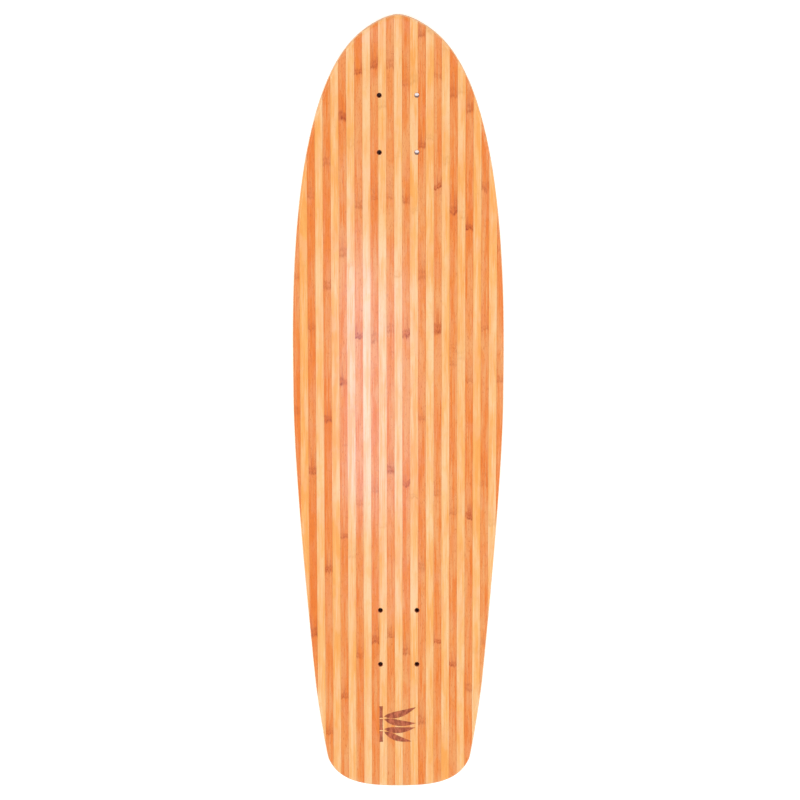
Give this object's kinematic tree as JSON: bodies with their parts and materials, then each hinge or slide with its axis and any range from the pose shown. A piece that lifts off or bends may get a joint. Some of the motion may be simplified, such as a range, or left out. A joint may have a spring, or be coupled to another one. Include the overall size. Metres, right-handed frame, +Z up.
{
  "type": "skateboard deck",
  "caption": "Bare pressed bamboo skateboard deck with a striped face, a slight camber, a rounded nose, a squarer tail, both a little raised, and bolt holes for two trucks.",
  "frame": {"origin": "middle of the deck's length and width, on the surface that the underside's truck pads rest on", "axes": "+Y along the deck towards the nose, +X to the deck's right, +Z up out of the riding face"},
  "size_m": [0.2344, 0.884, 0.016],
  "materials": {
    "natural_bamboo": "clear gloss lacquer",
    "carbonised_bamboo": "clear gloss lacquer",
    "crossband_bamboo": "sanded and lacquered edge",
    "core_bamboo": "sanded and lacquered edge"
  },
  "bodies": {
    "root": {"face_strip_left_13": "carbonised_bamboo", "face_strip_left_12": "natural_bamboo", "face_strip_left_11": "carbonised_bamboo", "face_strip_left_10": "natural_bamboo", "face_strip_left_09": "carbonised_bamboo", "face_strip_left_08": "natural_bamboo", "face_strip_left_07": "carbonised_bamboo", "face_strip_left_06": "natural_bamboo", "face_strip_left_05": "carbonised_bamboo", "face_strip_left_04": "natural_bamboo", "face_strip_left_03": "carbonised_bamboo", "face_strip_left_02": "natural_bamboo", "face_strip_left_01": "carbonised_bamboo", "face_strip_middle": "natural_bamboo", "face_strip_right_01": "carbonised_bamboo", "face_strip_right_02": "natural_bamboo", "face_strip_right_03": "carbonised_bamboo", "face_strip_right_04": "natural_bamboo", "face_strip_right_05": "carbonised_bamboo", "face_strip_right_06": "natural_bamboo", "face_strip_right_07": "carbonised_bamboo", "face_strip_right_08": "natural_bamboo", "face_strip_right_09": "carbonised_bamboo", "face_strip_right_10": "natural_bamboo", "face_strip_right_11": "carbonised_bamboo", "face_strip_right_12": "natural_bamboo", "face_strip_right_13": "carbonised_bamboo", "upper_crossband": "crossband_bamboo", "core_ply": "core_bamboo", "lower_crossband": "crossband_bamboo", "underside_sheet": "natural_bamboo"}
  },
  "joints": []
}
